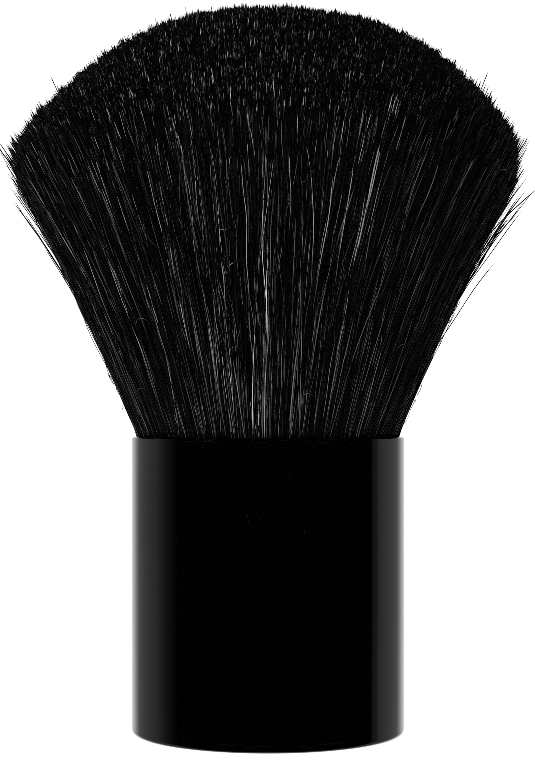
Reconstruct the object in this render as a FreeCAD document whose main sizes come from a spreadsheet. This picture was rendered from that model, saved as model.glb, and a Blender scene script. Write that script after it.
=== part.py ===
import FreeCAD, Part
import os
import Sketcher

# A kabuki makeup brush: a short black handle with a wide domed head of loose hair.
# The handle is a deep-drawn metal cup. It holds, from the floor up, an adhesive pad,
# a steel weight, a moulded core and the potted hair: a ferrule in which the bound
# roots of the hair stand in resin. The hair leaves the cup's mouth and flares freely.
# Millimetres, +Z up, origin on the table under the middle of the handle.

# Driving sizes: name, value and meaning. Names that end in share or count are plain numbers.
SIZES = (
    ("handle_radius", 15.0, "outside of the drawn cup"),
    ("handle_height", 32.5, "table to the cup's lip"),
    ("shell_wall", 0.5, "sheet that the cup is drawn from"),
    ("base_rounding", 0.5, "outside corner of the cup's base"),
    ("base_band_count", 3, "bands that this corner is turned in"),
    ("lip_bevel", 0.2, "outside corner of the lip"),
    ("stand_width", 3.5, "wall's outside to the inner edge of the ring that the cup stands on"),
    ("dish_slope", 0.6, "width of the step from that ring to the dish"),
    ("dish_depth", 0.4, "how far the middle of the base is pressed up"),
    ("fit_clearance", 0.05, "gap beside a piece that is pushed or glued in"),
    ("pad_thickness", 0.3, "adhesive pad under the weight"),
    ("pad_margin", 0.5, "bare ring round the pad on the pressed-up floor"),
    ("weight_gap", 0.9, "air round the weight"),
    ("weight_height", 5.5, "steel weight"),
    ("weight_bevel", 0.6, "lower edge of the weight, which enters the cup first"),
    ("tube_radius", 4.1, "middle tube of the core, also its locating pin"),
    ("tube_wall", 1.4, "wall of that tube"),
    ("pin_length", 3.2, "how far the tube reaches into the weight"),
    ("flange_thickness", 1.4, "each end disc of the core"),
    ("rib_thickness", 1.1, "webs between the end discs"),
    ("rib_setback", 0.7, "rim of the end discs beyond the webs"),
    ("rib_count", 6, "webs"),
    ("ridge_radius", 0.35, "half-round crush ridges on the end discs"),
    ("ridge_count", 4, "crush ridges on each end disc"),
    ("ferrule_length", 13.5, "seat on the core to the top of the ferrule"),
    ("ferrule_wall", 0.4, "sheet of the ferrule"),
    ("ferrule_setback", 0.8, "top of the ferrule below the cup's lip"),
    ("ledge_width", 1.5, "inward ledge at the ferrule's base"),
    ("resin_depth", 2.2, "resin that the roots stand in"),
    ("binding_lift", 1.6, "resin to the lower edge of the binding"),
    ("binding_width", 4.0, "turns of waxed thread side by side"),
    ("binding_depth", 0.8, "thickness of the binding"),
    ("mouth_gap", 0.15, "hair to the inside of the lip"),
    ("hair_reach", 45.7, "lip to the top of the dome"),
    ("shoulder_height", 26.0, "lip to the level where the flare begins to close"),
    ("shoulder_radius", 26.6, "head at that level"),
    ("flare_height", 31.7, "lip to the rim of the head"),
    ("head_radius", 28.0, "rim of the head"),
    ("dome_power_share", 2.7, "power of the dome's curve: 2 is a parabola, more is flatter on top"),
    ("dome_band_count", 5, "bands that the dome is turned in"),
)

# Radii and levels of the stack inside the cup, all worked out from the sheet.
SHELL_BORE = "(sizes.handle_radius - sizes.shell_wall)"
DISH_RADIUS = "(sizes.handle_radius - sizes.stand_width)"
DISH_PLATEAU = f"({DISH_RADIUS} - sizes.dish_slope)"
FLOOR_TOP = "(sizes.dish_depth + sizes.shell_wall)"
PAD_TOP = f"({FLOOR_TOP} + sizes.pad_thickness)"
WEIGHT_RADIUS = f"({SHELL_BORE} - sizes.weight_gap)"
WEIGHT_TOP = f"({PAD_TOP} + sizes.weight_height)"
FERRULE_TOP = "(sizes.handle_height - sizes.ferrule_setback)"
FERRULE_BASE = f"({FERRULE_TOP} - sizes.ferrule_length)"
FERRULE_RADIUS = f"({SHELL_BORE} - sizes.fit_clearance)"
FERRULE_BORE = f"({FERRULE_RADIUS} - sizes.ferrule_wall)"
LEDGE_TOP = f"({FERRULE_BASE} + sizes.ferrule_wall)"
LEDGE_BORE = f"({FERRULE_BORE} - sizes.ledge_width)"
FLANGE_RADIUS = f"({SHELL_BORE} - sizes.fit_clearance - sizes.ridge_radius)"
ROOT_BASE = f"({LEDGE_TOP} + sizes.resin_depth)"
ROOT_RADIUS = f"({FERRULE_BORE} - sizes.fit_clearance)"
BINDING_BASE = f"({ROOT_BASE} + sizes.binding_lift)"
BINDING_TOP = f"({BINDING_BASE} + sizes.binding_width)"
BINDING_BORE = f"({ROOT_RADIUS} - sizes.binding_depth)"
SHOULDER_HEIGHT = "(sizes.handle_height + sizes.shoulder_height)"
RIM_HEIGHT = "(sizes.handle_height + sizes.flare_height)"
BRUSH_HEIGHT = "(sizes.handle_height + sizes.hair_reach)"

# Two sizes are the same where they differ by less than this share of the handle's radius.
SAME_SHARE = 0.0001
FULL_TURN = 360
QUARTER_TURN = "90 deg"

doc = FreeCAD.newDocument("kabuki_brush")


def make_sheet():
    """One row for each driving size: name, value with its alias, and meaning."""
    sheet = doc.addObject("Spreadsheet::Sheet", "sizes")
    for row, (name, size, meaning) in enumerate(SIZES, start=1):
        sheet.set(f"A{row}", name)
        sheet.set(f"B{row}", str(size))
        sheet.setAlias(f"B{row}", name)
        sheet.set(f"C{row}", meaning)
    doc.recompute()
    return sheet


def value(expression):
    """The number that an expression has with the sheet's present sizes."""
    result = sizes.evalExpression(expression)
    return float(getattr(result, "Value", result))


def new_body(label):
    """An empty body whose label names the sub-part."""
    body = doc.addObject("PartDesign::Body", label)
    body.Label = label
    return body


def origin_feature(body, role):
    """One of the body's own origin planes or axes."""
    for feature in body.Origin.OriginFeatures:
        if feature.Role == role:
            return feature
    raise ValueError(f"{body.Label} has no {role}")


def new_sketch(body, name, role, lift="0"):
    """A sketch on one of the body's origin planes, lifted off it along its normal."""
    sketch = body.newObject("Sketcher::SketchObject", name)
    sketch.AttachmentSupport = [(origin_feature(body, role), "")]
    sketch.MapMode = "FlatFace"
    sketch.setExpression("AttachmentOffset.Base.z", lift)
    return sketch


def bind_point(sketch, line, end, across, up):
    """Hold one point of the sketch at a place given by two expressions."""
    for kind, axis, expression in (("DistanceX", -2, across), ("DistanceY", -1, up)):
        if expression == "0":
            sketch.addConstraint(Sketcher.Constraint("PointOnObject", line, end, axis))
        else:
            size = value(expression)
            number = sketch.addConstraint(Sketcher.Constraint(kind, -1, 1, line, end, size))
            sketch.setExpression(f"Constraints[{number}]", expression)


def half_section(body, name, corners):
    """A closed outline of straight lines in the XZ plane, each corner bound to the sheet."""
    sketch = new_sketch(body, name, "XZ_Plane")
    points = [FreeCAD.Vector(value(across), value(up), 0) for across, up in corners]
    for start, finish in zip(points, points[1:] + points[:1]):
        sketch.addGeometry(Part.LineSegment(start, finish), False)
    for line, (across, up) in enumerate(corners):
        following = (line + 1) % len(corners)
        sketch.addConstraint(Sketcher.Constraint("Coincident", line, 2, following, 1))
        bind_point(sketch, line, 1, across, up)
    doc.recompute()
    return sketch


def circle_sketch(body, name, radius, lift="0", across="0"):
    """A circle in a level plane, its centre on the X axis."""
    sketch = new_sketch(body, name, "XY_Plane", lift)
    centre = FreeCAD.Vector(value(across), 0, 0)
    circle = sketch.addGeometry(Part.Circle(centre, FreeCAD.Vector(0, 0, 1), value(radius)), False)
    bind_point(sketch, circle, 3, across, "0")
    number = sketch.addConstraint(Sketcher.Constraint("Radius", circle, value(radius)))
    sketch.setExpression(f"Constraints[{number}]", radius)
    return sketch


def revolve(body, name, section):
    """A full turn of a half section about the brush's axis."""
    feature = body.newObject("PartDesign::Revolution", name)
    feature.Profile = section
    feature.ReferenceAxis = (section, ["V_Axis"])
    feature.Angle = FULL_TURN
    doc.recompute()


def pad(body, name, sketch, length, midplane=False):
    """A straight pad, upwards from its sketch or to both sides of it."""
    feature = body.newObject("PartDesign::Pad", name)
    feature.Profile = sketch
    feature.Midplane = midplane
    feature.setExpression("Length", length)
    doc.recompute()
    return feature


def round_the_axis(body, name, feature, count):
    """Copies of a feature, evenly spaced round the brush's axis."""
    pattern = body.newObject("PartDesign::PolarPattern", name)
    pattern.Originals = [feature]
    pattern.Axis = (origin_feature(body, "Z_Axis"), [""])
    pattern.Angle = FULL_TURN
    pattern.setExpression("Occurrences", count)
    body.Tip = pattern
    doc.recompute()


def ring_edge(feature, radius, level):
    """The name of a feature's circular edge at this radius and level."""
    same = SAME_SHARE * value("sizes.handle_radius")
    for number, edge in enumerate(feature.Shape.Edges, start=1):
        if edge.Degenerated or not isinstance(edge.Curve, Part.Circle):
            continue
        off_radius = abs(edge.Curve.Radius - value(radius))
        off_level = abs(edge.Curve.Center.z - value(level))
        if off_radius < same and off_level < same:
            return f"Edge{number}"
    raise ValueError(f"{feature.Label} lacks the edge to bevel")


def bevel_edge(body, name, radius, level, width):
    """A chamfer on the circular edge at this radius and level."""
    base = body.Tip
    edge = ring_edge(base, radius, level)
    chamfer = body.newObject("PartDesign::Chamfer", name)
    chamfer.Base = (base, [edge])
    chamfer.setExpression("Size", width)
    doc.recompute()


def base_corners():
    """The quarter round at the cup's base, as corners of bands of equal angle."""
    count = int(value("sizes.base_band_count"))
    corners = []
    for number in range(count + 1):
        angle = f"({number} * {QUARTER_TURN} / sizes.base_band_count)"
        across = f"sizes.handle_radius - sizes.base_rounding * (1 - sin({angle}))"
        corners.append((across, f"sizes.base_rounding * (1 - cos({angle}))"))
    return corners


def handle_shell():
    """The drawn cup: straight wall, bevelled lip, and a base dished to stand on a ring."""
    body = new_body("handle_shell")
    section = half_section(body, "shell_section", [
        ("0", "sizes.dish_depth"),
        (DISH_PLATEAU, "sizes.dish_depth"),
        (DISH_RADIUS, "0"),
        *base_corners(),
        ("sizes.handle_radius", "sizes.handle_height"),
        (SHELL_BORE, "sizes.handle_height"),
        (SHELL_BORE, "sizes.shell_wall"),
        (DISH_RADIUS, "sizes.shell_wall"),
        (DISH_PLATEAU, FLOOR_TOP),
        ("0", FLOOR_TOP),
    ])
    revolve(body, "drawn_cup", section)
    bevel_edge(body, "lip_corner", "sizes.handle_radius", "sizes.handle_height", "sizes.lip_bevel")
    return body


def weight_pad():
    """The adhesive pad on the pressed-up middle of the floor."""
    body = new_body("weight_pad")
    radius = f"({DISH_PLATEAU} - sizes.pad_margin)"
    pad(body, "pad_disc", circle_sketch(body, "pad_circle", radius, FLOOR_TOP), "sizes.pad_thickness")
    return body


def base_weight():
    """The steel weight, bored for the core's pin and bevelled to enter the cup."""
    body = new_body("base_weight")
    disc = circle_sketch(body, "weight_circle", WEIGHT_RADIUS, PAD_TOP)
    blank = pad(body, "weight_disc", disc, "sizes.weight_height")
    whole = blank.Shape.Volume
    bore = body.newObject("PartDesign::Pocket", "weight_bore")
    bore.Profile = circle_sketch(body, "bore_circle", "sizes.tube_radius + sizes.fit_clearance", PAD_TOP)
    bore.Type = "ThroughAll"
    bore.Midplane = True
    doc.recompute()
    if bore.Shape.Volume >= whole:
        raise ValueError("the weight's bore cuts nothing")
    bevel_edge(body, "weight_edge", WEIGHT_RADIUS, PAD_TOP, "sizes.weight_bevel")
    return body


def crush_ridges(body, name, level):
    """Half-round ridges round one end disc, which take up the play in the cup."""
    sketch = circle_sketch(body, f"{name}_circle", "sizes.ridge_radius", level, FLANGE_RADIUS)
    ridge = pad(body, name, sketch, "sizes.flange_thickness")
    round_the_axis(body, f"{name}_pattern", ridge, "sizes.ridge_count")


def core_plug():
    """The moulded core: two end discs on a hollow tube, webs, crush ridges and a pin.

    The tube is open below, where it reaches into the weight, and closed on top by a
    spigot that fills the ferrule's ledge, so that the resin stays in the ferrule.
    """
    body = new_body("core_plug")
    tube_bore = "(sizes.tube_radius - sizes.tube_wall)"
    pin_tip = f"({WEIGHT_TOP} - sizes.pin_length)"
    lower_disc_top = f"({WEIGHT_TOP} + sizes.flange_thickness)"
    upper_disc_base = f"({FERRULE_BASE} - sizes.flange_thickness)"
    spigot_radius = f"({LEDGE_BORE} - sizes.fit_clearance)"
    section = half_section(body, "core_section", (
        (tube_bore, pin_tip),
        ("sizes.tube_radius", pin_tip),
        ("sizes.tube_radius", WEIGHT_TOP),
        (FLANGE_RADIUS, WEIGHT_TOP),
        (FLANGE_RADIUS, lower_disc_top),
        ("sizes.tube_radius", lower_disc_top),
        ("sizes.tube_radius", upper_disc_base),
        (FLANGE_RADIUS, upper_disc_base),
        (FLANGE_RADIUS, FERRULE_BASE),
        (spigot_radius, FERRULE_BASE),
        (spigot_radius, LEDGE_TOP),
        ("0", LEDGE_TOP),
        ("0", upper_disc_base),
        (tube_bore, upper_disc_base),
    ))
    revolve(body, "spool", section)
    middle_of_tube = "(sizes.tube_radius - sizes.tube_wall / 2)"
    rib_edge = f"({FLANGE_RADIUS} - sizes.rib_setback)"
    rib_section = half_section(body, "rib_section", (
        (middle_of_tube, WEIGHT_TOP),
        (rib_edge, WEIGHT_TOP),
        (rib_edge, FERRULE_BASE),
        (middle_of_tube, FERRULE_BASE),
    ))
    rib = pad(body, "rib", rib_section, "sizes.rib_thickness", midplane=True)
    round_the_axis(body, "ribs", rib, "sizes.rib_count")
    crush_ridges(body, "lower_ridge", WEIGHT_TOP)
    crush_ridges(body, "upper_ridge", upper_disc_base)
    return body


def ferrule():
    """The ring that the hair is potted in, with an inward ledge at its base."""
    body = new_body("ferrule")
    section = half_section(body, "ferrule_section", (
        (LEDGE_BORE, FERRULE_BASE),
        (FERRULE_RADIUS, FERRULE_BASE),
        (FERRULE_RADIUS, FERRULE_TOP),
        (FERRULE_BORE, FERRULE_TOP),
        (FERRULE_BORE, LEDGE_TOP),
        (LEDGE_BORE, LEDGE_TOP),
    ))
    revolve(body, "ferrule_wall", section)
    return body


def root_resin():
    """The resin disc that locks the cut ends of the hair in the ferrule."""
    body = new_body("root_resin")
    disc = circle_sketch(body, "resin_circle", ROOT_RADIUS, LEDGE_TOP)
    pad(body, "resin_disc", disc, "sizes.resin_depth")
    return body


def root_binding():
    """The wound thread round the roots, as the plain band that its turns fill."""
    body = new_body("root_binding")
    section = half_section(body, "binding_section", (
        (BINDING_BORE, BINDING_BASE),
        (ROOT_RADIUS, BINDING_BASE),
        (ROOT_RADIUS, BINDING_TOP),
        (BINDING_BORE, BINDING_TOP),
    ))
    revolve(body, "binding_band", section)
    return body


def dome_corners():
    """The dome's outline from its rim to near its top, as corners of level bands.

    Its height falls off as a power of the radius, so the top is nearly flat and the
    shoulder steep. The bands are narrow at the rim, where the outline turns fastest.
    """
    dome_height = "(sizes.hair_reach - sizes.flare_height)"
    count = int(value("sizes.dome_band_count"))
    corners = []
    for number in range(count):
        share = f"cos({number} * {QUARTER_TURN} / sizes.dome_band_count)"
        rise = f"(1 - {share} ^ sizes.dome_power_share)"
        corners.append((f"sizes.head_radius * {share}", f"{RIM_HEIGHT} + {dome_height} * {rise}"))
    return corners


def hair_bundle():
    """The hair: roots with a bound waist, a flare from the lip to a rounded shoulder, and the dome."""
    body = new_body("hair_bundle")
    waist = f"({BINDING_BORE} - sizes.fit_clearance)"
    waist_base = f"({BINDING_BASE} - sizes.fit_clearance)"
    waist_top = f"({BINDING_TOP} + sizes.fit_clearance)"
    section = half_section(body, "hair_section", [
        ("0", ROOT_BASE),
        (ROOT_RADIUS, ROOT_BASE),
        (ROOT_RADIUS, waist_base),
        (waist, waist_base),
        (waist, waist_top),
        (ROOT_RADIUS, waist_top),
        (ROOT_RADIUS, FERRULE_TOP),
        (f"({SHELL_BORE} - sizes.mouth_gap)", "sizes.handle_height"),
        ("sizes.shoulder_radius", SHOULDER_HEIGHT),
        *dome_corners(),
        ("0", BRUSH_HEIGHT),
    ])
    revolve(body, "hair_head", section)
    return body


def check_model(bodies):
    """Stop before anything is written if a feature failed or a piece isn't one solid."""
    for item in doc.Objects:
        if "Invalid" in item.State or "Error" in item.State:
            raise ValueError(f"{item.Label} failed: {item.State}")
    for body in bodies:
        shape = body.Shape
        if shape.isNull() or not shape.isValid() or len(shape.Solids) != 1:
            raise ValueError(f"{body.Label} isn't one valid solid")


sizes = make_sheet()
pieces = [
    handle_shell(),
    weight_pad(),
    base_weight(),
    core_plug(),
    ferrule(),
    root_resin(),
    root_binding(),
    hair_bundle(),
]
doc.recompute()
check_model(pieces)
os.makedirs("parts", exist_ok=True)
for piece in pieces:
    piece.Shape.exportStep(f"parts/{piece.Label}.step")
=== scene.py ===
"""The looks of a kabuki makeup brush: a glossy black handle and a flared head of black hair."""

import math

import bpy
import numpy as np
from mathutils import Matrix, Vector
from mathutils.kdtree import KDTree


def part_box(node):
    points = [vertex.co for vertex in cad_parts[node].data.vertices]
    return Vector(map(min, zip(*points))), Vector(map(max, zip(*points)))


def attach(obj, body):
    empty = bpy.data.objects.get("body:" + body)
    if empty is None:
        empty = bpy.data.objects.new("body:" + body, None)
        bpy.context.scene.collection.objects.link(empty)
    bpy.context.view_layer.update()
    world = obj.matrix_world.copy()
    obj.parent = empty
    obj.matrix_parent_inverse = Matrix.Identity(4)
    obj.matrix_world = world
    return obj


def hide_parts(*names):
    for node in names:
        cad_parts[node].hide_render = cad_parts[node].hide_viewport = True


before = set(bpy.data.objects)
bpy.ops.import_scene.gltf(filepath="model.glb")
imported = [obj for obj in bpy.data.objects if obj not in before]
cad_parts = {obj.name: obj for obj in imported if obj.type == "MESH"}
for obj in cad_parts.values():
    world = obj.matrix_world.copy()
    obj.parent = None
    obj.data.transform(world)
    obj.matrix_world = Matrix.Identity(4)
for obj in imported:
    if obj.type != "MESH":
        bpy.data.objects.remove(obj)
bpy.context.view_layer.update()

# Lengths are in metres, worked out from the frame or given in millimetres.
# Angles are in degrees, apart from the curls', which are in radians.
MM = 0.001
FULL_TURN = 2 * math.pi

# The photograph's frame and what the camera was fitted to in it.
PHOTO_WIDTH = 535
PHOTO_HEIGHT = 760
HORIZON_ROW = 427
AXIS_COLUMN = 268
CAMERA_DISTANCE = 210 * MM
CAMERA_HEIGHT = 33.6 * MM
LENS = 90
SENSOR = 36
FILTER_WIDTH = 0.6

# The frame's own sizes.
HANDLE_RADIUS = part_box("handle_shell")[1].x
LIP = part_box("handle_shell")[1].z
HEAD_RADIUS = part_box("hair_bundle")[1].x
HAIR_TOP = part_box("hair_bundle")[1].z
SHELL_WALL = HANDLE_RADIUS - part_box("ferrule")[1].x


def widest_level(node):
    """The height at which a round node is widest."""
    corners = [corner.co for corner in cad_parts[node].data.vertices]
    return max(corners, key=lambda co: math.hypot(co.x, co.y)).z


RIM = widest_level("hair_bundle")

# The handle's drawn cup.
BASE_ROUNDING = 0.5 * MM
LIP_ROUNDING = 0.22 * MM
STAND_WIDTH = 3.5 * MM
DISH_SLOPE = 0.6 * MM
DISH_DEPTH = 0.4 * MM
BASE_STEPS = 10
LIP_STEPS = 8
HANDLE_SEGMENTS = 256

# The head's outline. It stands a little proud of the solid's, because the tips are loose.
# A hair bends out of the mouth within a small share of its height, and a share of its flare comes late.
# The side's slope is how far it leans out for its height.
MOUTH_GAP = 0.1 * MM
ROOT_DEPTH = 0.4 * MM
TIP_PROUD = 2.3 * MM
MOUTH_RADIUS = HANDLE_RADIUS - SHELL_WALL - MOUTH_GAP
ROOT_LEVEL = LIP - ROOT_DEPTH
TIP_REACH = HEAD_RADIUS + TIP_PROUD
TIP_RISE = 0.45 * MM
RIM_RISE = 0.1 * MM
DOME_POWER = 2.7
DOME_END_SHARE = 1.1
BEND_SHARE = 0.012
SPREAD_SHARE = 0.15
SPREAD_POWER = 3
SIDE_SLOPE_SHARE = 0.42

# The trim: the outermost hairs are cut to a round shoulder, and the right side stands a little higher.
CUT_START_SHARE = 0.92
SHOULDER_CUT_SHARE = 0.15
CUT_POWER = 1.3
CUT_SCATTER_SHARE = 0.012
CUT_EVEN_SHARE = 0.3
RIGHT_RISE = 0.4 * MM
RIGHT_TRIM = 0.4 * MM
RIGHT_TRIM_POWER = 4
# This brings the peak of share ** 3 * (1 - share ** 2) to about 1.
PEAK_SCALE = 5.4

# How many hairs there are, and how they are divided. Widths are of a hair's whole thickness.
SEED = 7
SIDE_COUNT = 14000
SIDE_RINGS = 22
SIDE_PIECES = 9
SIDE_SKIN_SHARE = 0.90
SIDE_WILD_SHARE = 0.05
DOME_COUNT = 110000
DOME_RINGS = 5
DOME_PIECES = 14
DOME_LENGTH = 4.5 * MM
DOME_WILD_SHARE = 0.04
HAIR_WIDTH = 0.07 * MM
TIP_HAIR_WIDTH = 0.09 * MM
HAIR_WIDTH_SPREAD = 0.2
WIDTH_LIMIT_SHARES = (0.5, 1.6)
TIP_LENGTH = 0.35 * MM
STRAND_SIDES = 3

# Clumps, in which neighbouring tips draw together, and the single hairs' own scatter. Tips that reach
# too far are held back by a share of it. The dome's middle keeps only the even share of the raggedness.
CLUMP_COUNT = 5000
CLUMP_SCATTER_SHARE = 0.35
CLUMP_LEAN_BY = 0.16 * MM
CLUMP_PULL_SHARES = (0.25, 0.85)
CLUMP_RISE_BY = 0.22 * MM
SPIKE_SHARE = 0.14
SPIKE_RISE = 0.27 * MM
SPIKE_PULL_SHARE = 0.92
TIP_SCATTER = 0.12 * MM
WILD_LEAN = 1.1 * MM
HOLD_SHARE = 0.7
RISE_SCATTER = 0.08 * MM
LONG_SHARE = 0.03
LONG_RISE = 0.4 * MM
EVEN_SHARE = 0.3
SHORT_SHARE = 0.45
TIP_SHORT_BY = 0.5 * MM
SIDE_SHORT_BY = 2.0 * MM

# Sway. Waves that neighbours share grow along the hair, and each hair has waves of its own:
# their number between two limits, and their slope. The free rate is 1 over the share of its
# height at which a hair comes free of its root.
WAVE_SPREAD_SHARES = (0.5, 1.5)
WAVE_ALONG_SHARES = (0.3, 1.0)
SWAY_POWER = 1.3
FREE_RATE = 2.5
OWN_WAVES = (((1.0, 2.5), 0.034), ((2.5, 6.0), 0.022))
USUAL_LENGTH = 45 * MM
GAMMA_SHAPE = 2.0

# Hairs that cross the others at a slant, loose hairs that stand off the side, and short broken curls.
CROSSING_COUNT = 700
CROSSING_SKIN_SHARE = 0.985
CROSSING_LEAN = 7
CROSSING_POWERS = (0.6, 1.6)
STRAY_COUNT = 420
STRAY_SKIN_SHARE = 0.97
STRAY_WIDTH_SHARE = 1.5
STRAY_LEAVE_SHARES = (0.25, 0.75)
STRAY_END_SHARES = (0.7, 1.0)
STRAY_POWER = 1.5
STRAY_OUT = 0.7 * MM
STRAY_ASIDE = 0.9 * MM
CURL_COUNT = 260
CURL_RINGS = 8
CURL_WIDTH_SHARE = 0.9
CURL_HEIGHT_SHARES = (0.03, 0.9)
CURL_LENGTH = 0.6 * MM
CURL_BEND = 1.6
CURL_HEADING = 0.7
CURL_OFF = 0.12 * MM
CURL_BOW = 0.1 * MM

# The dark inside of the bundle, under the strands.
CORE_DEPTH = 1.2 * MM
CORE_SKIN_SHARE = 0.945
CORE_SINK = 1 * MM
CORE_TOP_STEPS = 14
CORE_SIDE_STEPS = 16
CORE_SEGMENTS = 128

# Painted sheen of the hair: columns of a map, the last ones with the strongest painted highlight.
# Hairs with more painted highlight are thicker and lie on top.
# The gap sets the columns apart in the noise that makes the painted sheen come and go.
SHADE_COLUMNS = 64
COLUMN_INSET = 0.15
COLUMN_GAP = 7.31
SHADE_START_SHARE = 0.3
# Painted shade: fewer and dimmer painted highlights towards the sides, dimmer still on the right.
SIDE_FEWER_PAINTED_HIGHLIGHTS_SHARE = 0.9
SIDE_PAINTED_SHADE_SHARE = 0.05
RIGHT_PAINTED_SHADE_SHARE = 0.15
PAINTED_HIGHLIGHT_POWER = 4
BRIGHT_WIDTH_SHARE = 0.15
BRIGHT_LIFT = 0.15 * MM
LIFT_HEIGHT = 3 * MM
HAIR_SPECULAR = 0.3

# Colours of the finishes: each one's plain colour, and the ends of its tint.
LACQUER_BLACK = (0.0002, 0.0002, 0.0002)
LACQUER_WORN = (0.006, 0.006, 0.006)
HAIR_SHADE = (0.003, 0.003, 0.003)
HAIR_SHADE_DARK = (0.001, 0.001, 0.001)
HAIR_SHADE_LIGHT = (0.006, 0.006, 0.006)
FOAM = (0.86, 0.85, 0.82)
FOAM_PIT_SHADE = (0.7, 0.69, 0.65)
FOAM_LIGHT = (0.88, 0.87, 0.84)
STEEL = (0.55, 0.56, 0.58)
STEEL_DARK = (0.46, 0.46, 0.46)
STEEL_LIGHT = (0.57, 0.58, 0.6)
PLASTIC = (0.03, 0.03, 0.032)
PLASTIC_DARK = (0.024, 0.024, 0.026)
PLASTIC_LIGHT = (0.036, 0.036, 0.038)
ALUMINIUM = (0.78, 0.79, 0.8)
ALUMINIUM_DARK = (0.68, 0.69, 0.7)
ALUMINIUM_LIGHT = (0.82, 0.83, 0.84)
RESIN = (0.72, 0.6, 0.36)
RESIN_DARK = (0.6, 0.46, 0.22)
RESIN_LIGHT = (0.78, 0.68, 0.46)
THREAD = (0.74, 0.7, 0.62)
THREAD_GROOVE_SHADE = (0.4, 0.36, 0.3)
THREAD_LIGHT = (0.76, 0.72, 0.64)
PAPER_WHITE = (0.9, 0.9, 0.9)

# The lacquer's gloss, its waviness and its wear.
LACQUER_ROUGHNESS = 0.05
CLEAN_ROUGHNESS = LACQUER_ROUGHNESS - 0.015
SMEARED_ROUGHNESS = LACQUER_ROUGHNESS + 0.02
SCUFF_ROUGHNESS = 0.2
ORANGE_PEEL = 0.002 * MM
FOOT_WORN_BELOW = 0.2 * MM
FOOT_CLEAN_ABOVE = 1.6 * MM
LIP_WEAR = 0.8 * MM

# The studio. Lamps have a name, a place and a power.
FLOOR_SIZE = 3.0
FLOOR_GLOW = 0.8
WORLD_LIGHT = 0.25
LAMP_SIZE = 0.18
LAMP_AIM = (0, 0, 0.045)
LAMPS = (
    ("top_lamp", (0, 0, 0.7), 3.2),
    ("front_lamp", (-0.14, -0.63, 0.07), 4.7),
    ("left_lamp", (-0.6, -0.2, 0.3), 0.4),
    ("right_lamp", (0.6, 0.0, 0.3), 0.15),
    ("back_lamp", (0.1, 0.65, 0.2), 2.5),
)

# What the handle mirrors: tones by the angle from the front, and shares of them by the angle from level.
LEFT_TONES = ((0, 0), (80, 0), (92, 0.09), (100, 0.19), (106, 0.29), (138, 0.35), (152, 1), (180, 1))
RIGHT_TONES = ((0, 0), (95.5, 0), (97.5, 0.11), (102.5, 0.14), (106, 0.31), (112, 0.34), (138, 0.36),
               (152, 1), (180, 1))
BAND_SHARES = ((-89.9, 1), (12, 1), (18, 0), (89.9, 0))
CARD_RADIUS = 1.5
CARD_STEP = 0.5
CARD_LEVELS = (-89.9, -40, 0, 12, 18, 54, 89.9)

rng = np.random.default_rng(SEED)


def new_object(name, mesh):
    """Links a mesh to the scene as an object."""
    piece = bpy.data.objects.new(name, mesh)
    bpy.context.scene.collection.objects.link(piece)
    return piece


def lathe(name, profile, segments):
    """An outline of (radius, height) points, turned about the brush's axis."""
    turns = np.linspace(0, FULL_TURN, segments, endpoint=False)
    radius, height = np.array(profile).T
    x = np.outer(np.cos(turns), radius)
    y = np.outer(np.sin(turns), radius)
    z = np.tile(height, (segments, 1))
    corners = np.stack([x, y, z], axis=-1).reshape(-1, 3)
    count = len(profile)
    faces = []
    for turn in range(segments):
        here, following = turn * count, (turn + 1) % segments * count
        for step in range(count - 1):
            faces.append((here + step, following + step, following + step + 1, here + step + 1))
    mesh = bpy.data.meshes.new(name)
    mesh.from_pydata(corners.tolist(), [], faces)
    mesh.polygons.foreach_set("use_smooth", [True] * len(faces))
    mesh.validate()
    return new_object(name, mesh)


def arc(centre, radius, start, end, steps):
    """Points of an arc in the half section, angles from the outward direction."""
    angles = np.radians(np.linspace(start, end, steps))
    return [(centre[0] + radius * math.cos(a), centre[1] + radius * math.sin(a)) for a in angles]


def make_handle():
    """The drawn cup with a rounded base, a small rounded lip and a dished bottom."""
    bore = HANDLE_RADIUS - SHELL_WALL
    dish = HANDLE_RADIUS - STAND_WIDTH
    corner = (HANDLE_RADIUS - BASE_ROUNDING, BASE_ROUNDING)
    lip = (HANDLE_RADIUS - LIP_ROUNDING, LIP - LIP_ROUNDING)
    profile = [(0, DISH_DEPTH), (dish - DISH_SLOPE, DISH_DEPTH), (dish, 0)]
    profile += arc(corner, BASE_ROUNDING, -90, 0, BASE_STEPS)
    profile += arc(lip, LIP_ROUNDING, 0, 90, LIP_STEPS)
    profile += [(bore, LIP), (bore, SHELL_WALL), (dish, SHELL_WALL)]
    profile += [(dish - DISH_SLOPE, DISH_DEPTH + SHELL_WALL), (0, DISH_DEPTH + SHELL_WALL)]
    return lathe("handle", profile, HANDLE_SEGMENTS)


def dome(radius):
    """The height of the trimmed dome over a radius."""
    share = np.clip(radius / HEAD_RADIUS, 0, DOME_END_SHARE)
    trimmed = RIM + (HAIR_TOP - RIM) * (1 - share ** DOME_POWER)
    return trimmed + TIP_RISE + (RIM_RISE - TIP_RISE) * share ** 2


class Waves:
    """Smooth sway shared by neighbouring hairs: a sum of sine waves over the disc and along the hair."""

    def __init__(self, number, across, along, size):
        turn = rng.uniform(0, FULL_TURN, number)
        heading = np.stack([np.cos(turn), np.sin(turn)])
        self.across = heading * rng.uniform(*WAVE_SPREAD_SHARES, number) * across
        self.along = rng.uniform(*WAVE_ALONG_SHARES, number) * along
        self.phase = rng.uniform(0, FULL_TURN, number)
        self.size = rng.normal(0, size / math.sqrt(number), (number, 2))

    def at(self, places, along):
        """Offsets of shape (hairs, rings, 2)."""
        turn = (places @ self.across)[:, None, :] + along[:, :, None] * self.along
        return np.sin(FULL_TURN * turn + self.phase) @ self.size


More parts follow.
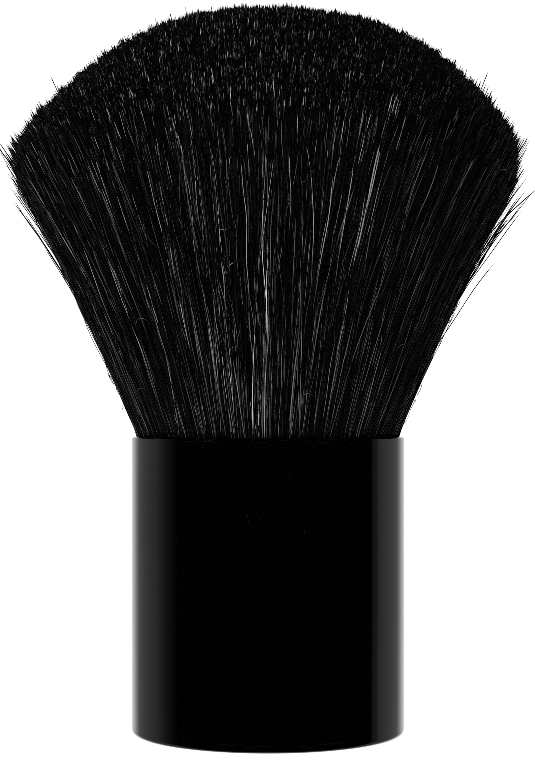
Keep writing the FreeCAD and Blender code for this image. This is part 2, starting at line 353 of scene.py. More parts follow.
BROAD_WAVES = Waves(number=7, across=1.2, along=0.8, size=0.3 * MM)
LOCK_WAVES = Waves(number=12, across=7, along=1.6, size=0.15 * MM)
FINE_WAVES = Waves(number=16, across=26, along=3.5, size=0.06 * MM)


def clump_centres():
    """Places of the clumps over the mouth's unit disc, spread like seeds in a sunflower."""
    number = np.arange(CLUMP_COUNT) + 0.5
    radius = np.sqrt(number / CLUMP_COUNT)
    # Each is turned by the golden angle, math.pi * (3 - math.sqrt(5)), from the one before.
    angle = number * math.pi * (3 - math.sqrt(5))
    places = np.stack([radius * np.cos(angle), radius * np.sin(angle)], axis=-1)
    return places + rng.normal(0, CLUMP_SCATTER_SHARE / math.sqrt(CLUMP_COUNT), places.shape)


# Each clump's place, lean, pull on its hairs and rise. Some clumps are tight spikes.
CLUMPS = clump_centres()
CLUMP_LEAN = rng.normal(0, CLUMP_LEAN_BY, (CLUMP_COUNT, 2))
CLUMP_PULL = rng.uniform(*CLUMP_PULL_SHARES, CLUMP_COUNT)
CLUMP_RISE = rng.normal(0, CLUMP_RISE_BY, CLUMP_COUNT)
SPIKES = rng.random(CLUMP_COUNT) < SPIKE_SHARE
CLUMP_RISE[SPIKES] += rng.exponential(SPIKE_RISE, SPIKES.sum())
CLUMP_PULL[SPIKES] = SPIKE_PULL_SHARE


def nearest_clump(places):
    """The number of the clump nearest to each place on the unit disc."""
    tree = KDTree(len(CLUMPS))
    for number, (x, y) in enumerate(CLUMPS):
        tree.insert((x, y, 0), number)
    tree.balance()
    return np.array([tree.find((x, y, 0))[1] for x, y in places])


def scatter(count, inner, outer):
    """Places on the unit disc between two radii, in order round the axis."""
    radius = np.sqrt(rng.uniform(inner ** 2, outer ** 2, count))
    angle = np.sort(rng.uniform(0, FULL_TURN, count))
    return np.stack([radius * np.cos(angle), radius * np.sin(angle)], axis=-1)


def flare(along):
    """How far out a hair has gone, from 0 at its root to 1 at its tip, at each share of its height."""
    bend = along - BEND_SHARE * (1 - np.exp(-along / BEND_SHARE))
    return (1 - SPREAD_SHARE) / (1 - BEND_SHARE) * bend + SPREAD_SHARE * along ** SPREAD_POWER


def cut_share(places):
    """How much of its full length each hair keeps: the outermost ones are trimmed to a round shoulder."""
    over = (np.hypot(places[:, 0], places[:, 1]) - CUT_START_SHARE) / (1 - CUT_START_SHARE)
    over = np.clip(over, 0, None)
    uneven = rng.normal(0, CUT_SCATTER_SHARE, len(places)) * np.minimum(over + CUT_EVEN_SHARE, 1)
    return 1 - SHOULDER_CUT_SHARE * over ** CUT_POWER + uneven


def right_fullness(across):
    """The trim stands higher on the right shoulder and lower on the left one."""
    share = np.clip(across / HEAD_RADIUS, -1, 1)
    return RIGHT_RISE * PEAK_SCALE * share ** 3 * (1 - share ** 2)


def tip_places(places, clump, wild_share):
    """Where the hairs end, seen from above: drawn into clumps, scattered, and held within reach."""
    spread = places + (CLUMPS[clump] - places) * CLUMP_PULL[clump][:, None]
    tip = spread * TIP_REACH + CLUMP_LEAN[clump]
    tip += rng.normal(0, TIP_SCATTER, tip.shape)
    wild = rng.random(len(places)) < wild_share
    tip[wild] += rng.normal(0, WILD_LEAN, (wild.sum(), 2))
    over = np.maximum(np.hypot(tip[:, 0], tip[:, 1]) / TIP_REACH, 1)
    tip /= (1 + (over - 1) * HOLD_SHARE)[:, None]
    tip[:, 0] -= RIGHT_TRIM * np.clip(tip[:, 0] / HEAD_RADIUS, 0, None) ** RIGHT_TRIM_POWER
    return tip


def tip_levels(tip, clump):
    """How high the hairs end: at the dome, ragged by clumps, and more so towards the rim."""
    reach = np.minimum(np.hypot(tip[:, 0], tip[:, 1]), HEAD_RADIUS)
    rise = CLUMP_RISE[clump] + rng.normal(0, RISE_SCATTER, len(tip))
    long_ones = rng.random(len(tip)) < LONG_SHARE
    rise[long_ones] += rng.exponential(LONG_RISE, long_ones.sum())
    ragged = EVEN_SHARE + (1 - EVEN_SHARE) * (reach / HEAD_RADIUS) ** 2
    return dome(reach) + right_fullness(tip[:, 0]) + rise * ragged


def ring_shares(places, start, rings, length, short_by):
    """The share of its hair's height at which each ring lies. The last but one is close to the point."""
    count = len(places)
    short = np.where(rng.random(count) < SHORT_SHARE, rng.exponential(short_by, count), 0)
    kept = cut_share(places) - short / length
    blunt = TIP_LENGTH / length[:, None]
    along = start[:, None] + (1 - blunt - start[:, None]) * np.linspace(0, 1, rings - 1)
    along = np.concatenate([along, np.ones((count, 1))], axis=1)
    return along * kept[:, None]


def hair_paths(places, start, rings, wild_share, short_by):
    """Centre lines of hairs that leave the mouth at these places, from a share of their length on.

    Returns points of shape (hairs, rings, 3).
    """
    count = len(places)
    clump = nearest_clump(places)
    root = places * MOUTH_RADIUS
    tip = tip_places(places, clump, wild_share)
    length = tip_levels(tip, clump) - ROOT_LEVEL
    along = ring_shares(places, start, rings, length, short_by)
    flat = root[:, None, :] + (tip - root)[:, None, :] * flare(along)[:, :, None]
    grow = along[:, :, None] ** SWAY_POWER
    free = np.minimum(along * FREE_RATE, 1)[:, :, None]
    flat += BROAD_WAVES.at(places, along) * grow
    flat += LOCK_WAVES.at(places, along) * grow
    flat += FINE_WAVES.at(places, along) * free
    numbers = [rng.uniform(*limits, count) for limits, slope in OWN_WAVES]
    for waves, (limits, slope) in zip(numbers, OWN_WAVES):
        uneven = rng.gamma(GAMMA_SHAPE, 1 / GAMMA_SHAPE, (count, 2))
        size = slope * uneven * USUAL_LENGTH / (FULL_TURN * waves[:, None])
        phase = rng.uniform(0, FULL_TURN, (count, 2))
        turn = FULL_TURN * waves[:, None, None] * along[:, :, None] + phase[:, None, :]
        flat += free * size[:, None, :] * np.sin(turn)
    level = ROOT_LEVEL + length[:, None] * along
    return np.concatenate([flat, level[:, :, None]], axis=-1)


def shade_columns(roots):
    """The column of painted sheen for the hair at each root: few are strongly painted, and fewer and dimmer
    at the sides and right, which is painted shade.
    """
    side = np.sin(np.arctan2(roots[:, 0], -roots[:, 1]))
    rarity = 1 / np.sqrt(1 - SIDE_FEWER_PAINTED_HIGHLIGHTS_SHARE * side ** 2)
    strongest_painted_highlight = 1 - SIDE_PAINTED_SHADE_SHARE * side ** 2 - RIGHT_PAINTED_SHADE_SHARE * np.maximum(side, 0) ** 2
    return (SHADE_COLUMNS * strongest_painted_highlight * rng.random(len(roots)) ** rarity).astype(int)


def strand_faces(count, rings):
    """The corners of each face of closed strands with pointed tips, and how many corners each face has."""
    quads = []
    for ring in range(rings - 2):
        for side in range(STRAND_SIDES):
            after = (side + 1) % STRAND_SIDES
            low, high = ring * STRAND_SIDES, (ring + 1) * STRAND_SIDES
            quads.append((low + side, low + after, high + after, high + side))
    last = (rings - 2) * STRAND_SIDES
    point = last + STRAND_SIDES
    triangles = [(last + side, last + (side + 1) % STRAND_SIDES, point) for side in range(STRAND_SIDES)]
    triangles.append((2, 1, 0))
    offset = (np.arange(count) * (point + 1))[:, None, None]
    quad_index = (np.array(quads)[None] + offset).reshape(count, -1)
    triangle_index = (np.array(triangles)[None] + offset).reshape(count, -1)
    index = np.concatenate([quad_index, triangle_index], axis=1).ravel()
    sizes = np.tile([4] * len(quads) + [3] * len(triangles), count)
    return index, sizes


def shade_map(column, paths, shade_start):
    """Each corner's place on the map of shades.

    Across is its strand's column, and up is a stretch that starts at a place of the strand's own.
    """
    count, rings, _ = paths.shape
    across = np.append(np.tile([COLUMN_INSET, 0.5, 1 - COLUMN_INSET], rings - 1), 0.5)
    u = (column[:, None] + across[None, :]) / SHADE_COLUMNS
    grown = np.cumsum(np.linalg.norm(np.diff(paths, axis=1), axis=2), axis=1)
    share = np.concatenate([np.zeros((count, 1)), grown / grown[:, -1:]], axis=1)
    share = shade_start * rng.random((count, 1)) + (1 - shade_start) * share
    v = np.concatenate([np.repeat(share[:, :-1], STRAND_SIDES, axis=1), share[:, -1:]], axis=1)
    return np.stack([u, v], axis=-1).reshape(-1, 2)


def lifted(paths, painted_highlight):
    """Centre lines moved outwards, those with more painted highlight more, from the mouth on."""
    away = paths[:, -1, :2] / np.linalg.norm(paths[:, -1, :2], axis=1)[:, None]
    off_root = np.minimum((paths[:, :, 2] - ROOT_LEVEL) / LIFT_HEIGHT, 1)
    paths = paths.copy()
    paths[:, :, :2] += (BRIGHT_LIFT * painted_highlight[:, None] * off_root)[:, :, None] * away[:, None, :]
    return paths


def strand_mesh(name, paths, widths, shade_start=SHADE_START_SHARE):
    """Closed strands along centre lines, pointed at the tip, those with more painted highlight thicker and on
    top.

    The map OFBake holds the strands' places on the map of shades.
    """
    count, rings, _ = paths.shape
    direction = paths[:, -1] - paths[:, 0]
    direction /= np.linalg.norm(direction, axis=1)[:, None]
    outward = rng.normal(0, 1, direction.shape)
    first = np.cross(direction, outward)
    first /= np.linalg.norm(first, axis=1)[:, None]
    second = np.cross(direction, first)
    turns = np.arange(STRAND_SIDES) * FULL_TURN / STRAND_SIDES
    sides = first[:, None, :] * np.cos(turns)[:, None] + second[:, None, :] * np.sin(turns)[:, None]
    column = shade_columns(paths[:, 0])
    painted_highlight = (column / SHADE_COLUMNS) ** PAINTED_HIGHLIGHT_POWER
    radius = widths / 2 * (1 + BRIGHT_WIDTH_SHARE * painted_highlight)
    paths = lifted(paths, painted_highlight)
    body = paths[:, :-1, None, :] + sides[:, None, :, :] * radius[:, None, None, None]
    corners = np.concatenate([body.reshape(count, -1, 3), paths[:, -1:, :]], axis=1).reshape(-1, 3)
    index, sizes = strand_faces(count, rings)
    mesh = bpy.data.meshes.new(name)
    mesh.vertices.add(len(corners))
    mesh.vertices.foreach_set("co", corners.astype(np.float32).ravel())
    mesh.loops.add(len(index))
    mesh.loops.foreach_set("vertex_index", index.astype(np.int32))
    mesh.polygons.add(len(sizes))
    starts = np.concatenate([[0], np.cumsum(sizes)[:-1]])
    mesh.polygons.foreach_set("loop_start", starts.astype(np.int32))
    mesh.polygons.foreach_set("use_smooth", np.ones(len(sizes), bool))
    mesh.update(calc_edges=True)
    shades = shade_map(column, paths, shade_start)[index]
    mesh.uv_layers.new(name="OFBake").uv.foreach_set("vector", shades.astype(np.float32).ravel())
    return new_object(name, mesh)


def widths_of(count, usual=HAIR_WIDTH):
    """The width of each hair."""
    return usual * np.clip(rng.normal(1, HAIR_WIDTH_SPREAD, count), *WIDTH_LIMIT_SHARES)


def in_pieces(name, paths, pieces, width, shade_start):
    """Strands as several objects, each a sector of the head."""
    made = []
    for number, group in enumerate(np.array_split(paths, pieces), start=1):
        made.append(strand_mesh(f"{name}_{number}", group, widths_of(len(group), width), shade_start))
    return made


def make_side_hair():
    """The outer hairs, at full length."""
    places = scatter(SIDE_COUNT, SIDE_SKIN_SHARE, 1)
    paths = hair_paths(places, np.zeros(SIDE_COUNT), SIDE_RINGS, SIDE_WILD_SHARE, SIDE_SHORT_BY)
    return in_pieces("hair_side", paths, SIDE_PIECES, HAIR_WIDTH, SHADE_START_SHARE)


def make_tips():
    """The tips of the inner hairs, on the dome."""
    places = scatter(DOME_COUNT, 0, SIDE_SKIN_SHARE)
    length = dome(np.hypot(places[:, 0], places[:, 1]) * HEAD_RADIUS) - ROOT_LEVEL
    start = 1 - DOME_LENGTH / length
    paths = hair_paths(places, start, DOME_RINGS, DOME_WILD_SHARE, TIP_SHORT_BY)
    return in_pieces("hair_tips", paths, DOME_PIECES, TIP_HAIR_WIDTH, 0)


def make_strays():
    """Loose hairs that stand off the head's side, bowed outwards, some of them broken off."""
    places = scatter(STRAY_COUNT, STRAY_SKIN_SHARE, 1)
    paths = hair_paths(places, np.zeros(STRAY_COUNT), SIDE_RINGS, 0, SIDE_SHORT_BY)
    along = np.linspace(0, 1, SIDE_RINGS)
    leaves = rng.uniform(*STRAY_LEAVE_SHARES, STRAY_COUNT)
    out = np.clip((along[None, :] - leaves[:, None]) / (1 - leaves[:, None]), 0, 1) ** STRAY_POWER
    size = rng.gamma(GAMMA_SHAPE, STRAY_OUT, STRAY_COUNT)
    turned = rng.normal(0, STRAY_ASIDE, STRAY_COUNT)
    outward = places / np.hypot(places[:, 0], places[:, 1])[:, None]
    aside = np.stack([-outward[:, 1], outward[:, 0]], axis=-1)
    paths[:, :, :2] += (out * size[:, None])[:, :, None] * outward[:, None, :]
    paths[:, :, :2] += (out * turned[:, None])[:, :, None] * aside[:, None, :]
    ends = rng.uniform(*STRAY_END_SHARES, STRAY_COUNT)
    short = along[None, :] * ends[:, None]
    cut = np.empty_like(paths)
    for number in range(STRAY_COUNT):
        for axis in range(3):
            cut[number, :, axis] = np.interp(short[number], along, paths[number, :, axis])
    return strand_mesh("hair_strays", cut, widths_of(STRAY_COUNT) * STRAY_WIDTH_SHARE)


def turned_about_axis(x, y, turn):
    """Places turned about the brush's axis."""
    return x * np.cos(turn) - y * np.sin(turn), x * np.sin(turn) + y * np.cos(turn)


def make_crossing_hairs():
    """Hairs that lie over the others at a slant."""
    places = scatter(CROSSING_COUNT, CROSSING_SKIN_SHARE, 1)
    paths = hair_paths(places, np.zeros(CROSSING_COUNT), SIDE_RINGS, 0, SIDE_SHORT_BY)
    along = np.linspace(0, 1, SIDE_RINGS)
    lean = np.radians(rng.normal(0, CROSSING_LEAN, CROSSING_COUNT))
    turn = lean[:, None] * along[None, :] ** rng.uniform(*CROSSING_POWERS, CROSSING_COUNT)[:, None]
    x, y = turned_about_axis(paths[:, :, 0], paths[:, :, 1], turn)
    paths = np.stack([x, y, paths[:, :, 2]], axis=-1)
    return strand_mesh("hair_crossing", paths, widths_of(CROSSING_COUNT))


def make_curls():
    """Short broken hairs caught on the head's side, each bent into a hook."""
    angle = rng.uniform(0, FULL_TURN, CURL_COUNT)
    along = rng.uniform(*CURL_HEIGHT_SHARES, CURL_COUNT)
    reach = MOUTH_RADIUS + (TIP_REACH - MOUTH_RADIUS) * flare(along) + CURL_OFF
    level = ROOT_LEVEL + (RIM - ROOT_LEVEL) * along
    length = rng.gamma(GAMMA_SHAPE, CURL_LENGTH, CURL_COUNT) + CURL_LENGTH
    bend = rng.normal(0, CURL_BEND, CURL_COUNT)
    heading = rng.normal(0, CURL_HEADING, CURL_COUNT)
    share = np.linspace(0, 1, CURL_RINGS)
    turned = heading[:, None] + bend[:, None] * share[None, :]
    step = (length / (CURL_RINGS - 1))[:, None]
    aside = np.cumsum(np.sin(turned) * step, axis=1)
    up = np.cumsum(np.cos(turned) * step, axis=1)
    out = reach[:, None] + up * SIDE_SLOPE_SHARE + CURL_BOW * np.sin(share * math.pi)[None, :]
    x, y = turned_about_axis(out, aside, angle[:, None])
    paths = np.stack([x, y, level[:, None] + up], axis=-1)
    return strand_mesh("hair_curls", paths, widths_of(CURL_COUNT) * CURL_WIDTH_SHARE)


def make_hair_core():
    """The dark inside of the bundle, under the strands that are modelled singly."""
    skin = HEAD_RADIUS * CORE_SKIN_SHARE
    top = [(r, dome(r / CORE_SKIN_SHARE) - CORE_DEPTH) for r in np.linspace(0, skin, CORE_TOP_STEPS)]
    rim = top[-1][1]
    low = ROOT_LEVEL - CORE_SINK
    along = np.linspace(0, 1, CORE_SIDE_STEPS)
    across = (MOUTH_RADIUS + (TIP_REACH - MOUTH_RADIUS) * flare(along)) * CORE_SKIN_SHARE
    across = np.minimum(across, skin)
    side = list(zip(across, ROOT_LEVEL + (rim - ROOT_LEVEL) * along))
    profile = [(0, low), (across[0], low)] + side + top[-2::-1]
    return lathe("hair_core", profile, CORE_SEGMENTS)


def material(name, colour, roughness):
    """A plain Principled material, to be dressed."""
    made = bpy.data.materials.new(name)
    made.use_nodes = True
    shader = made.node_tree.nodes["Principled BSDF"]
    shader.inputs["Base Color"].default_value = (*colour, 1)
    shader.inputs["Roughness"].default_value = roughness
    return made


def add_node(made, kind, inputs=(), **settings):
    """A node of a material with settings and with inputs given as values or as sockets to link."""
    node = made.node_tree.nodes.new(kind)
    for name, value in settings.items():
        setattr(node, name, value)
    for name, value in dict(inputs).items():
        if isinstance(value, bpy.types.NodeSocket):
            made.node_tree.links.new(value, node.inputs[name])
        else:
            node.inputs[name].default_value = value
    return node


def maths(made, operation, *values):
    """The result of an operation on values or sockets."""
    return add_node(made, "ShaderNodeMath", dict(enumerate(values)), operation=operation).outputs[0]


def between(made, value, low=0, high=1, start=0.3, end=0.7):
    """A value mapped from one range, start to end, to another, low to high."""
    return add_node(made, "ShaderNodeMapRange", {"Value": value, "From Min": start, "From Max": end,
                                                "To Min": low, "To Max": high}).outputs[0]


def shader_of(made):
    """The shader of a material."""
    return made.node_tree.nodes["Principled BSDF"]


def link(made, output, name):
    """Links an output to an input of the material's shader."""
    made.node_tree.links.new(output, shader_of(made).inputs[name])


def hair_material(name, patches, power, dark, painted_highlight, roughness):
    """Black hair with a painted sheen, which comes and goes along each strand, more on some strands than on
    others.
    """
    made = material(name, (dark, dark, dark), roughness)
    shader_of(made).inputs["Specular IOR Level"].default_value = HAIR_SPECULAR
    where = add_node(made, "ShaderNodeUVMap", uv_map="OFBake").outputs[0]
    split = add_node(made, "ShaderNodeSeparateXYZ", {"Vector": where})
    column = maths(made, "FLOOR", maths(made, "MULTIPLY", split.outputs["X"], SHADE_COLUMNS))
    painted_shine = maths(made, "POWER", maths(made, "MULTIPLY", column, 1 / SHADE_COLUMNS), power)
    apart = maths(made, "MULTIPLY", column, COLUMN_GAP)
    along = maths(made, "MULTIPLY", split.outputs["Y"], patches)
    spot = add_node(made, "ShaderNodeCombineXYZ", {"X": apart, "Y": along}).outputs[0]
    noise = add_node(made, "ShaderNodeTexNoise", {"Vector": spot, "Scale": 1, "Detail": 1},
                     noise_dimensions="2D").outputs[0]
    # Painted highlight: strongest on the high columns, where the noise along the strand is high.
    glow = maths(made, "MULTIPLY", between(made, noise, start=0.42, end=0.72), painted_shine)
    # The painted sheen is weaker towards the tip and near the root.
    painted_sheen_fade = between(made, split.outputs["Y"], low=1, high=0.55, start=0.35, end=1)
    rise = between(made, split.outputs["Y"], low=0.5, high=1, start=0, end=0.35)
    glow = maths(made, "MULTIPLY", maths(made, "MULTIPLY", glow, painted_sheen_fade), rise)
    # The painted highlight goes into the base colour, from the dark hair upwards.
    link(made, between(made, glow, low=dark, high=painted_highlight, start=0, end=1), "Base Color")
    return made


def place_of(made, stretch=(1, 1, 1)):
    """Where a point lies on the brush, in metres, with an axis stretched or squeezed."""
    where = add_node(made, "ShaderNodeTexCoord").outputs["Object"]
    return add_node(made, "ShaderNodeMapping", {"Vector": where, "Scale": stretch}).outputs[0]


def height_of(made):
    """How high a point lies on the brush."""
    return add_node(made, "ShaderNodeSeparateXYZ", {"Vector": place_of(made)}).outputs["Z"]


def radius_of(made):
    """How far a point lies from the brush's axis."""
    flat = place_of(made, (1, 1, 0))
    return add_node(made, "ShaderNodeVectorMath", {0: flat}, operation="LENGTH").outputs["Value"]


def grain(made, size, stretch=(1, 1, 1), detail=3):
    """Noise from 0 to 1 with spots of a size."""
    return add_node(made, "ShaderNodeTexNoise",
                    {"Vector": place_of(made, stretch), "Scale": 1 / size, "Detail": detail}).outputs[0]


def ripples(made, place, pitch):
    """A sine wave over a place, with a pitch."""
    return maths(made, "SINE", maths(made, "MULTIPLY", place, FULL_TURN / pitch))


def raise_by(made, value, depth):
    """Bumps of a depth where the value is high."""
    bump = add_node(made, "ShaderNodeBump", {"Height": value, "Strength": 1, "Distance": depth})
    link(made, bump.outputs[0], "Normal")


def tint(made, value, dark, light):
    """Colours the shader between two colours."""
    blend = add_node(made, "ShaderNodeMix", data_type="RGBA")
    made.node_tree.links.new(value, blend.inputs["Factor"])
    blend.inputs["A"].default_value = (*dark, 1)
    blend.inputs["B"].default_value = (*light, 1)
    link(made, blend.outputs["Result"], "Base Color")


def lacquer_material():
    """Deep black gloss lacquer, with scuffs where the base is set down and where the lip is wiped."""
    made = material("lacquer", LACQUER_BLACK, LACQUER_ROUGHNESS)
    height = height_of(made)
    foot = between(made, height, low=1, high=0, start=FOOT_WORN_BELOW, end=FOOT_CLEAN_ABOVE)
    lip = between(made, height, start=LIP - LIP_WEAR, end=LIP)
    rubbed = grain(made, size=0.25 * MM, stretch=(0.12, 0.12, 1), detail=2)
    scratches = between(made, rubbed, start=0.58, end=0.7)
    worn = maths(made, "MULTIPLY", maths(made, "MAXIMUM", foot, lip), scratches)
    smears = between(made, grain(made, size=6 * MM), low=CLEAN_ROUGHNESS, high=SMEARED_ROUGHNESS)
    link(made, maths(made, "MULTIPLY_ADD", worn, SCUFF_ROUGHNESS, smears), "Roughness")
    tint(made, worn, LACQUER_BLACK, LACQUER_WORN)
    raise_by(made, grain(made, size=2.5 * MM, detail=1), depth=ORANGE_PEEL)
    return made


def inner_hair_material():
    """The shade between the hairs: dark strands, close together."""
    made = material("inner_hair", HAIR_SHADE, roughness=0.6)
    strands = grain(made, size=0.12 * MM, stretch=(1, 1, 0.03))
    tint(made, between(made, strands), HAIR_SHADE_DARK, HAIR_SHADE_LIGHT)
    link(made, between(made, strands, low=0.5, high=0.7), "Roughness")
    raise_by(made, strands, depth=0.05 * MM)
    return made


def foam_material():
    """Closed-cell pad foam with a pitted skin, and painted shade in the pits."""
    made = material("pad_foam", FOAM, roughness=0.9)
    cell_size = 0.35 * MM
    spread = {"Vector": place_of(made), "Scale": 1 / cell_size}
    cells = add_node(made, "ShaderNodeTexVoronoi", spread).outputs[0]
    # Painted shade: darker towards the middle of each pit.
    tint(made, between(made, cells, start=0, end=0.8), FOAM_PIT_SHADE, FOAM_LIGHT)
    raise_by(made, cells, depth=0.05 * MM)
    return made


def turned_steel_material():
    """A steel slug with fine rings from the lathe and a little stain."""
    made = material("weight_steel", STEEL, roughness=0.35)
    shader_of(made).inputs["Metallic"].default_value = 1
    raise_by(made, ripples(made, radius_of(made), pitch=0.12 * MM), depth=0.004 * MM)
    stain = between(made, grain(made, size=3 * MM))
    tint(made, stain, STEEL_DARK, STEEL_LIGHT)
    link(made, between(made, stain, low=0.28, high=0.45, start=0, end=1), "Roughness")
    return made


def core_plastic_material():
    """Black moulded plastic with the faint frost of a spark-eroded mould."""
    made = material("core_plastic", PLASTIC, roughness=0.45)
    raise_by(made, grain(made, size=0.08 * MM), depth=0.008 * MM)
    flow = between(made, grain(made, size=5 * MM, stretch=(1, 1, 0.4)))
    tint(made, flow, PLASTIC_DARK, PLASTIC_LIGHT)
    link(made, between(made, flow, low=0.38, high=0.52, start=0, end=1), "Roughness")
    return made


def brushed_aluminium_material():
    """A turned aluminium ring, brushed round its axis."""
    made = material("ferrule_aluminium", ALUMINIUM, roughness=0.32)
    shader_of(made).inputs["Metallic"].default_value = 1
    lines = grain(made, size=0.06 * MM, stretch=(0.02, 0.02, 1), detail=2)
    tint(made, between(made, lines), ALUMINIUM_DARK, ALUMINIUM_LIGHT)
    link(made, between(made, lines, low=0.25, high=0.42), "Roughness")
    raise_by(made, lines, depth=0.003 * MM)
    return made


def resin_material():
    """Cast amber resin, cloudy where it wets the roots."""
    made = material("resin", RESIN, roughness=0.15)
    clouds = between(made, grain(made, size=1.6 * MM))
    tint(made, clouds, RESIN_DARK, RESIN_LIGHT)
    link(made, between(made, clouds, low=0.1, high=0.25, start=0, end=1), "Roughness")
    raise_by(made, grain(made, size=4 * MM, detail=1), depth=0.05 * MM)
    return made


def thread_material():
    """Waxed thread wound in close turns, with painted shade in the grooves between them."""
    made = material("thread", THREAD, roughness=0.7)
    rounds = ripples(made, height_of(made), pitch=0.3 * MM)
    fibres = grain(made, size=0.08 * MM, stretch=(0.2, 0.2, 1))
    # Painted shade: darker in the grooves between the turns.
    tint(made, between(made, rounds, start=-1, end=0.4), THREAD_GROOVE_SHADE, THREAD_LIGHT)
    link(made, between(made, fibres, low=0.55, high=0.8), "Roughness")
    raise_by(made, rounds, depth=0.06 * MM)
    return made


def dress_inner_pieces():
    """The finish of each piece that the handle hides."""
    finishes = {
        "weight_pad": foam_material(),
        "base_weight": turned_steel_material(),
        "core_plug": core_plastic_material(),
        "ferrule": brushed_aluminium_material(),
        "root_resin": resin_material(),
        "root_binding": thread_material(),
    }
    for name, finish in finishes.items():
        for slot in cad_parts[name].material_slots:
            slot.material = finish


def make_camera():
    """A level camera in front of the brush, shifted to the photograph's framing."""
    data = bpy.data.cameras.new("camera")
    data.lens = LENS
    data.sensor_width = SENSOR
    data.shift_x = (PHOTO_WIDTH / 2 - AXIS_COLUMN) / PHOTO_HEIGHT
    data.shift_y = (HORIZON_ROW - PHOTO_HEIGHT / 2) / PHOTO_HEIGHT
    camera = bpy.data.objects.new("camera", data)
    camera.location = (0, -CAMERA_DISTANCE, CAMERA_HEIGHT)
    camera.rotation_euler = (math.radians(90), 0, 0)
    bpy.context.scene.collection.objects.link(camera)
    bpy.context.scene.camera = camera


def make_floor():
    """A white paper floor, which reads white where nothing shades it."""
    mesh = bpy.data.meshes.new("floor")
    size = FLOOR_SIZE
    corners = [(-size, -size, 0), (size, -size, 0), (size, size, 0), (-size, size, 0)]
    mesh.from_pydata(corners, [], [(0, 1, 2, 3)])
    floor = new_object("floor", mesh)
    made = material("floor_paper", PAPER_WHITE, roughness=1.0)
    shader_of(made).inputs["Specular IOR Level"].default_value = 0
    seen = add_node(made, "ShaderNodeLightPath").outputs["Is Camera Ray"]
    glow = add_node(made, "ShaderNodeEmission", {"Strength": maths(made, "MULTIPLY", seen, FLOOR_GLOW)})
    both = add_node(made, "ShaderNodeAddShader", {0: shader_of(made).outputs[0], 1: glow.outputs[0]})
    made.node_tree.links.new(both.outputs[0], made.node_tree.nodes["Material Output"].inputs["Surface"])
    made.cycles.emission_sampling = "NONE"
    mesh.materials.append(made)
    floor.visible_glossy = False


def read_off(table, place):
    """The value of a table of (place, value) rows at a place between them."""
    return float(np.interp(place, [row[0] for row in table], [row[1] for row in table]))


def card_material():
    """A glow of the tone at each corner, which sends no light of its own."""
    made = bpy.data.materials.new("cards")
    made.use_nodes = True
    made.node_tree.nodes.clear()
    tone = add_node(made, "ShaderNodeAttribute", attribute_name="tone")
    glow = add_node(made, "ShaderNodeEmission", {"Strength": tone.outputs["Fac"]})
    add_node(made, "ShaderNodeOutputMaterial", {"Surface": glow.outputs[0]})
    made.cycles.emission_sampling = "NONE"
    return made


def make_cards():
    """A ring of cards that only reflections see: dark in front and above, grey at the sides, white behind."""
    turns = np.arange(-180, 180 + CARD_STEP / 2, CARD_STEP)
    corners, tones = [], []
    for turn in turns:
        side = read_off(RIGHT_TONES if turn > 0 else LEFT_TONES, abs(turn))
        for level in CARD_LEVELS:
            flat = CARD_RADIUS * math.cos(math.radians(level))
            up = CARD_RADIUS * math.sin(math.radians(level))
            corners.append((flat * math.sin(math.radians(turn)), -flat * math.cos(math.radians(turn)), up))
            tones.append(side * read_off(BAND_SHARES, level))
    faces, rows = [], len(CARD_LEVELS)
    for turn in range(len(turns) - 1):
        for row in range(rows - 1):
            low = turn * rows + row
            faces.append((low, low + rows, low + rows + 1, low + 1))
    mesh = bpy.data.meshes.new("cards")
    mesh.from_pydata(corners, [], faces)
    mesh.attributes.new("tone", "FLOAT", "POINT").data.foreach_set("value", tones)
    mesh.materials.append(card_material())
    card = new_object("cards", mesh)
    card.visible_camera = False
    card.visible_diffuse = False
    card.visible_transmission = False
    card.visible_shadow = False


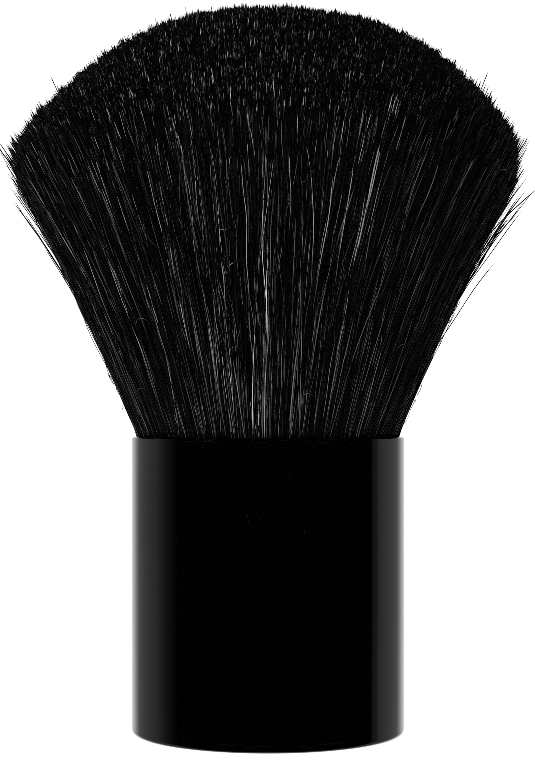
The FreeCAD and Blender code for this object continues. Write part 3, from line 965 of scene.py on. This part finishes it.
def make_world():
    """A white backdrop, and a softer light from it on the brush."""
    world = bpy.data.worlds.new("studio")
    bpy.context.scene.world = world
    world.use_nodes = True
    back = world.node_tree.nodes["Background"]
    back.inputs["Color"].default_value = (1, 1, 1, 1)
    path = add_node(world, "ShaderNodeLightPath")
    seen = maths(world, "MAXIMUM", path.outputs["Is Camera Ray"], path.outputs["Is Glossy Ray"])
    seen = maths(world, "MAXIMUM", seen, path.outputs["Is Transmission Ray"])
    level = between(world, seen, low=WORLD_LIGHT, high=1, start=0, end=1)
    world.node_tree.links.new(level, back.inputs["Strength"])


def make_lamp(name, place, power):
    """A soft square lamp that faces the brush, and that no reflection shows."""
    data = bpy.data.lights.new(name, "AREA")
    data.shape = "SQUARE"
    data.size = LAMP_SIZE
    data.energy = power
    lamp = bpy.data.objects.new(name, data)
    lamp.location = place
    lamp.rotation_euler = (Vector(LAMP_AIM) - Vector(place)).to_track_quat("-Z", "Y").to_euler()
    bpy.context.scene.collection.objects.link(lamp)
    lamp.visible_glossy = False


def make_studio():
    """The view, the floor, what the handle mirrors, the backdrop and the lamps."""
    scene = bpy.context.scene
    scene.view_settings.view_transform = "Standard"
    scene.cycles.use_denoising = False
    scene.cycles.filter_width = FILTER_WIDTH
    make_camera()
    make_floor()
    make_cards()
    make_world()
    for name, place, power in LAMPS:
        make_lamp(name, place, power)


make_studio()
lacquer = lacquer_material()
# The hair's highlights are painted into its base colour, up to the level given.
side_hair = hair_material("side_hair", patches=3.0, power=10.0, dark=0.002, painted_highlight=0.53, roughness=0.3)
tip_hair = hair_material("tip_hair", patches=5.0, power=10.0, dark=0.002, painted_highlight=0.95, roughness=0.3)
inner_hair = inner_hair_material()
dress_inner_pieces()

handle = make_handle()
handle.data.materials.append(lacquer)
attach(handle, "root")
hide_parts("handle_shell")

core = make_hair_core()
core.data.materials.append(inner_hair)
sides = make_side_hair()
tips = make_tips()
strays = [make_strays(), make_crossing_hairs(), make_curls()]
for piece in sides + strays:
    piece.data.materials.append(side_hair)
for piece in tips:
    piece.data.materials.append(tip_hair)
for piece in [core] + sides + tips + strays:
    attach(piece, "root")
    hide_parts("hair_bundle")
